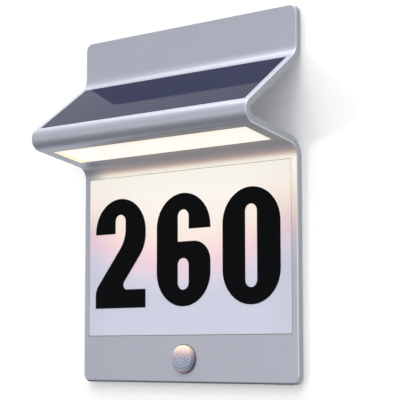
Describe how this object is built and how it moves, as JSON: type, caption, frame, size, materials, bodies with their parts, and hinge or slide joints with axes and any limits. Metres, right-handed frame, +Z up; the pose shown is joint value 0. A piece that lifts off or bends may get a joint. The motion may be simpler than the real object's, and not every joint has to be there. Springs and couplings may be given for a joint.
{
  "type": "illuminated house number sign",
  "caption": "Solar wall light with a house number: a bent metal profile with a hood, a glowing strip, a white number panel and a motion sensor.",
  "frame": {"origin": "midway between the bracket's two wall holes, on the wall face", "axes": "+Z up, -Y out of the wall towards the viewer, +X to the viewer's right"},
  "size_m": [0.23, 0.0756, 0.305],
  "materials": {
    "shell_metal": "silver-grey, satin",
    "back_metal": "plain sheet, dull",
    "bracket_steel": "zinc plated",
    "screw_steel": "bright",
    "contact_metal": "nickel plated strip",
    "sensor_can": "nickel plated can",
    "solar_glass": "dark blue tint, glossy",
    "solar_cells": "dark blue silicon, fine silver fingers",
    "carrier": "black laminate",
    "foam_tape": "white acrylic foam",
    "opal_diffuser": "opal white, translucent",
    "opal_panel": "opal white, satin",
    "digit_foil": "black vinyl foil",
    "bezel": "dark grey ring",
    "lens": "milky polyethylene, faceted",
    "seal_rubber": "black, soft",
    "white_board": "white solder mask",
    "green_board": "green solder mask",
    "led_yellow": "yellow phosphor in white body",
    "flat_lead": "white flat cable",
    "housing_plastic": "grey, fine grain",
    "battery_sleeve": "green shrink sleeve",
    "chip_black": "black moulded",
    "switch_body": "black",
    "switch_knob": "white"
  },
  "bodies": {
    "bracket": {"wall_bracket": "bracket_steel"},
    "lamp": {"front_shell": "shell_metal", "upper_liner": "back_metal", "lower_back_plate": "back_metal", "back_plate_screws": "screw_steel", "solar_glass": "solar_glass", "solar_cells": "solar_cells", "solar_backsheet": "carrier", "solar_tape": "foam_tape", "led_diffuser": "opal_diffuser", "led_board": "white_board", "leds": "led_yellow", "number_panel": "opal_panel", "panel_tape": "foam_tape", "digit_left": "digit_foil", "digit_middle": "digit_foil", "digit_right": "digit_foil", "pir_bezel": "bezel", "pir_gasket": "seal_rubber", "pir_lens": "lens", "pir_sensor": "sensor_can", "pir_board": "green_board", "sensor_lead": "flat_lead", "solar_lead": "flat_lead", "led_lead": "flat_lead", "battery_housing": "housing_plastic", "housing_screws": "screw_steel", "housing_cover": "housing_plastic", "housing_gasket": "seal_rubber", "cover_screws": "screw_steel", "battery_cell": "battery_sleeve", "battery_contacts": "contact_metal", "battery_door": "housing_plastic", "battery_door_screw": "screw_steel", "main_board": "green_board", "board_components": "chip_black", "mode_switch_body": "switch_body", "board_screws": "screw_steel", "wall_bumpers": "seal_rubber"},
    "switch_knob": {"mode_switch_knob": "switch_knob"}
  },
  "joints": [
    {"name": "lift_off", "type": "slide", "parent": "bracket", "child": "lamp", "axis": [0, 0, 1], "range_m": [0, 0.008]},
    {"name": "mode_switch", "type": "slide", "parent": "lamp", "child": "switch_knob", "axis": [0, 1, 0], "range_m": [-0.002, 0.002]}
  ]
}
